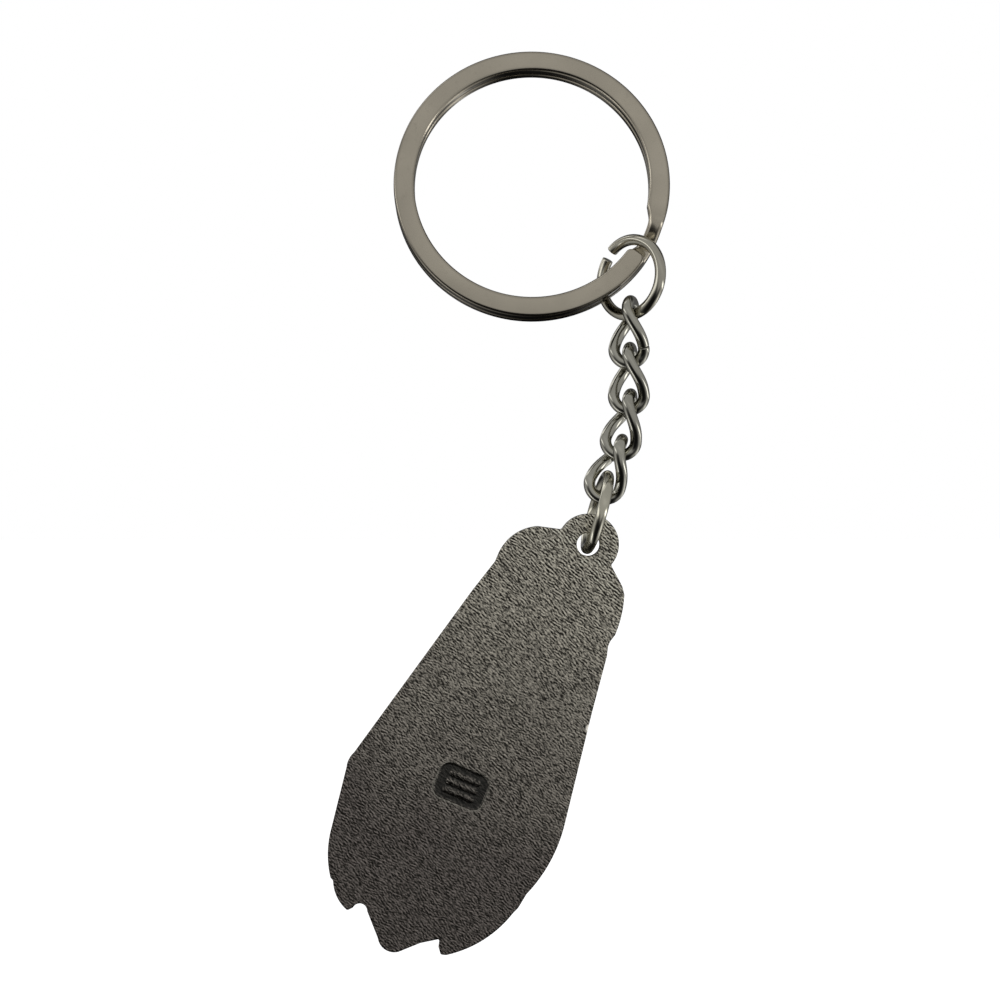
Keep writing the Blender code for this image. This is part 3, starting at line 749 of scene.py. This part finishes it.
def charm_solid():
    """Points and faces of the charm in its own frame, on an even grid fine enough for its texture."""
    body = loose_object("charm_shape", slab(outline_points(OUTLINE_START, OUTLINE), -PLATE_T / 2, PLATE_T / 2))
    edges = body.modifiers.new("eased", "BEVEL")
    edges.width = PLATE_EDGE_R
    edges.segments = 4
    edges.limit_method = "ANGLE"
    edges.angle_limit = math.radians(60)
    tools = []
    for i, (shape, operation) in enumerate(charm_tools()):
        tool = loose_object(f"charm_tool_{i}", shape)
        tools.append(tool)
        modifier = body.modifiers.new(tool.name, "BOOLEAN")
        modifier.operation = operation
        modifier.solver = "EXACT"
        modifier.object = tool
    grid = body.modifiers.new("grid", "REMESH")
    grid.mode = "VOXEL"
    grid.voxel_size = CHARM_GRID
    graph = bpy.context.evaluated_depsgraph_get()
    evaluated = body.evaluated_get(graph)
    data = evaluated.to_mesh()
    points = np.empty(len(data.vertices) * 3)
    data.vertices.foreach_get("co", points)
    normals = np.empty(len(data.vertices) * 3)
    data.vertices.foreach_get("normal", normals)
    faces = [tuple(polygon.vertices) for polygon in data.polygons]
    evaluated.to_mesh_clear()
    for item in [body, *tools]:
        bpy.data.objects.remove(item, do_unlink=True)
    return points.reshape(-1, 3), normals.reshape(-1, 3), faces


def grained(shape, cell, wave, spread, seed, lean=0.0, stretch=1.0):
    """Random ridges on a grid of points, of one wavelength, longer by `stretch` along a direction `lean`."""
    noise = np.random.default_rng(seed).standard_normal(shape)
    fu = np.fft.fftfreq(shape[0], cell)[:, None]
    fv = np.fft.fftfreq(shape[1], cell)[None, :]
    turn = math.radians(lean)
    along = fu * math.cos(turn) + fv * math.sin(turn)
    across = fv * math.cos(turn) - fu * math.sin(turn)
    off = (np.abs(across) * wave - 1) / spread
    kept = np.exp(-0.5 * (off**2 + (along * wave * stretch) ** 2))
    made = np.real(np.fft.ifft2(np.fft.fft2(noise) * kept))
    return made / made.std()


def sampled(grid, cell, u, v, low):
    """Values of a grid at points, between its cells."""
    fu = (u - low[0]) / cell
    fv = (v - low[1]) / cell
    i = np.clip(fu.astype(int), 0, grid.shape[0] - 2)
    j = np.clip(fv.astype(int), 0, grid.shape[1] - 2)
    a, b = fu - i, fv - j
    return (
        grid[i, j] * (1 - a) * (1 - b)
        + grid[i + 1, j] * a * (1 - b)
        + grid[i, j + 1] * (1 - a) * b
        + grid[i + 1, j + 1] * a * b
    )


def peel(u, v):
    """The height of the back's texture, about -1 to 1: worm-like ridges that lie more and more aslant near the top."""
    cell = 0.05
    low = (-18.0, -52.0)
    shape = (600, 1200)
    fine = np.tanh(0.9 * grained(shape, cell, PEEL_WAVE, 0.25, PEEL_SEED, lean=-22, stretch=2.0))
    slant = np.tanh(0.9 * grained(shape, cell, PEEL_WAVE * 1.06, 0.25, PEEL_SEED + 1, lean=-22, stretch=2.6))
    lumps = grained(shape, cell, 2.2, 0.5, PEEL_SEED + 2)
    top = np.clip((v + 24.0) / 20.0, 0, 1)
    made = sampled(fine, cell, u, v, low) * (1 - top) + sampled(slant, cell, u, v, low) * top
    return made * (0.85 + 0.15 * sampled(lumps, cell, u, v, low))


def box_distance(u, v, centre, size, corner):
    """Distance from points to a rounded box's outline, less than 0 inside it."""
    out_u = np.abs(u - centre[0]) - size[0] / 2 + corner
    out_v = np.abs(v - centre[1]) - size[1] / 2 + corner
    beyond = np.hypot(np.maximum(out_u, 0), np.maximum(out_v, 0))
    return beyond + np.minimum(np.maximum(out_u, out_v), 0) - corner


def charm(material):
    points, normals, faces = charm_solid()
    back = np.clip((-normals[:, 1] - 0.6) / 0.35, 0, 1)
    front = np.clip((normals[:, 1] - 0.6) / 0.35, 0, 1)
    height = peel(points[:, 0], points[:, 2])
    in_stamp = (points[:, 1] > -PLATE_T / 2 + 0.08) & (points[:, 1] < 0)
    flat = np.hypot(points[:, 0] - CHIP_AT[0], points[:, 2] - CHIP_AT[1])
    chip = np.clip((CHIP_R - flat - 0.12 * height) / 0.1, 0, 1)
    chip *= np.clip((CHIP_DEEP - PLATE_T / 2 - points[:, 1]) / 0.1, 0, 1)
    grained_share = np.maximum(back, front)
    # painted shade mask: 1 at the stamp's recess floor, less up its raised bars
    recess_shade = np.clip((points[:, 1] + PLATE_T / 2) / STAMP_DEPTH, 0, 1) ** 0.7 * in_stamp * back
    edge = box_distance(points[:, 0], points[:, 2], STAMP_CENTRE, STAMP_SIZE, STAMP_CORNER)
    # painted highlight mask along the stamp's rim
    lip_highlight = np.exp(-(((edge - STAMP_LIP_AT) / STAMP_LIP_HALF) ** 2)) * back
    lift = PEEL_HEIGHT * (height - 1) * (back * np.where(in_stamp, 0.35, 1.0) + 0.3 * front)
    points = points + normals * lift[:, None]
    to_world = Matrix.Translation(CHARM_EYE) @ turned(Y_AXIS, CHARM_LEAN)
    turn = np.array(to_world.to_3x3())
    points = points @ turn.T + np.array(to_world.translation)
    # painted light and shade: the "peel" mark pales the grain's crests, darkens its hollows, and darkens the charm's
    # sides a little
    marks = {"peel": np.clip(0.5 + 0.5 * height * grained_share - 0.12 * (1 - grained_share), 0, 1), "recess_shade": recess_shade, "lip_highlight": lip_highlight, "chip": chip}
    return mesh_piece("charm_casting", points, faces, material, "charm", sharp=180, marks=marks)


# ---------------------------------------------------------------- stage, light and camera

CAMERA_BACK = 240.0
CAMERA_LENS = 80.0
SENSOR = 36.0
FLOOR_DROP = 10.0
ROOM_LEVEL = 0.5
ROOM_FADE = (0.1, 0.9, 1.0, 0.25)  # the room darkens from the first of these Y directions to the second
# Patches of the surroundings, each placed by the X and Z of the mirror that shows it to the camera:
# middle, sizes along and across, slant, strength, steepness of the edge
DARK_PATCHES = (
    ((-0.04, -0.46), (0.66, 0.27), -48.0, 0.98, 3.5),
    ((0.26, -0.33), (0.24, 0.18), 0.0, 0.85, 2.0),
    ((0.0, -1.0), (0.85, 0.22), 0.0, 0.92, 2.0),
    ((0.5, 0.66), (0.38, 0.08), -45.0, 0.9, 2.0),
    ((-0.15, 0.95), (0.4, 0.14), 0.0, 0.75, 2.0),
    ((-0.95, -0.3), (0.14, 0.45), 10.0, 0.85, 2.0),
)
LIGHT_PATCHES = (
    ((0.64, -0.15), (0.15, 0.06), -25.0, 2.8, 1.6),
    ((0.64, -0.5), (0.26, 0.1), -45.0, 0.8, 1.2),
    ((-0.5, -0.4), (0.2, 0.035), -55.0, 1.9, 1.4),
    ((-0.6, 0.17), (0.24, 0.05), -35.0, 1.5, 1.4),
    ((-0.48, 0.62), (0.26, 0.05), 15.0, 1.1, 1.4),
    ((-0.78, 0.5), (0.2, 0.04), 55.0, 1.4, 1.4),
    ((0.1, 0.25), (0.5, 0.1), -20.0, 0.12, 1.0),
)


def floor():
    half = 3.0
    data = bpy.data.meshes.new("floor")
    z = CAD_BOX[0].z - FLOOR_DROP * MM
    data.from_pydata([(-half, -half, z), (half, -half, z), (half, half, z), (-half, half, z)], [], [(0, 1, 2, 3)])
    made = bpy.data.objects.new("floor", data)
    bpy.context.scene.collection.objects.link(made)
    material, nodes, shader, _ = new_material("floor_white")
    shader.inputs["Base Color"].default_value = (0.9, 0.9, 0.9, 1)
    shader.inputs["Roughness"].default_value = 0.8
    shader.inputs["Emission Color"].default_value = (1, 1, 1, 1)
    shader.inputs["Emission Strength"].default_value = 0.75
    data.materials.append(material)
    made.visible_glossy = False


def studio():
    """Light all round: the camera sees white, and the metal sees a grey room with lights and dark parts."""
    world = bpy.data.worlds.new("studio")
    bpy.context.scene.world = world
    world.use_nodes = True
    tree = world.node_tree
    nodes = Nodes(tree)
    background = tree.nodes["Background"]
    direction = nodes.add("ShaderNodeTexCoord").outputs["Generated"]
    split = nodes.add("ShaderNodeSeparateXYZ", {"Vector": direction})

    half = nodes.math("MULTIPLY", nodes.math("SUBTRACT", 1.0, split.outputs["Y"]), 0.5)
    double = nodes.math("MULTIPLY", nodes.math("SQRT", nodes.math("MAXIMUM", half, 0.0004)), 2.0)
    mirror = [nodes.math("DIVIDE", split.outputs[axis], double) for axis in ("X", "Z")]

    def patch(centre, sizes, slant, strength, steep):
        """Strength in the middle of a patch, falling off over its sizes along and across its slant."""
        off = [nodes.math("SUBTRACT", mirror[axis], centre[axis]) for axis in range(2)]
        turn = math.radians(slant)
        square = 0.0
        for (x_share, z_share), size in zip(((math.cos(turn), math.sin(turn)), (-math.sin(turn), math.cos(turn))), sizes):
            x, z = nodes.math("MULTIPLY", off[0], x_share / size), nodes.math("MULTIPLY", off[1], z_share / size)
            share = nodes.math("ADD", x, z)
            square = nodes.math("ADD", square, nodes.math("MULTIPLY", share, share))
        fall = nodes.math("POWER", math.e, nodes.math("MULTIPLY", nodes.math("POWER", square, steep), -1.0))
        return nodes.math("MULTIPLY", fall, strength)

    behind = nodes.add("ShaderNodeMapRange", interpolation_type="SMOOTHSTEP")
    nodes.put(behind.inputs["Value"], split.outputs["Y"])
    for key, value in zip(("From Min", "From Max", "To Min", "To Max"), ROOM_FADE):
        behind.inputs[key].default_value = value
    seen = nodes.math("MULTIPLY", behind.outputs[0], ROOM_LEVEL)
    for dark in DARK_PATCHES:
        seen = nodes.math("MULTIPLY", seen, nodes.math("SUBTRACT", 1.0, patch(*dark)))
    for light in LIGHT_PATCHES:
        seen = nodes.math("ADD", seen, patch(*light))
    rays = nodes.add("ShaderNodeLightPath")
    shown = nodes.math("MAXIMUM", seen, rays.outputs["Is Camera Ray"])
    grey = nodes.add("ShaderNodeCombineColor", {"Red": shown, "Green": shown, "Blue": shown})
    nodes.put(background.inputs["Color"], grey.outputs[0])


def camera():
    data = bpy.data.cameras.new("camera")
    data.lens = CAMERA_LENS
    data.sensor_width = SENSOR
    data.clip_start = 0.01
    data.clip_end = 50
    made = bpy.data.objects.new("camera", data)
    made.location = (SHIFT + Vector((0, -CAMERA_BACK, 0))) * MM
    made.rotation_euler = (math.radians(90), 0, 0)
    bpy.context.scene.collection.objects.link(made)
    bpy.context.scene.camera = made


def main():
    bpy.context.scene.view_settings.view_transform = "Standard"
    steel = (0.45, 0.41, 0.333)
    ring_wire, link_wire, hook_wire = (0.45, 0.43, 0.36), (0.425, 0.415, 0.36), (0.53, 0.51, 0.42)
    split_ring(plated_wire("split_ring_nickel", steel, 0.16, 0.7))
    wire_piece("upper_jump_ring", upper_jump_path(), JUMP_WIRE, plated_wire("upper_jump_nickel", ring_wire, 0.09))
    for i in range(len(LINKS)):
        material = plated_wire(f"chain_link_{i + 1}_nickel", link_wire, 0.09)
        wire_piece(f"chain_link_{i + 1}", link_path(i), LINK_WIRE, material)
    wire_piece("lower_jump_ring", lower_jump_path(), JUMP_WIRE, plated_wire("lower_jump_nickel", hook_wire, 0.09))
    charm(cast_plate("charm_nickel", (0.375, 0.355, 0.295)))
    floor()
    studio()
    camera()


main()
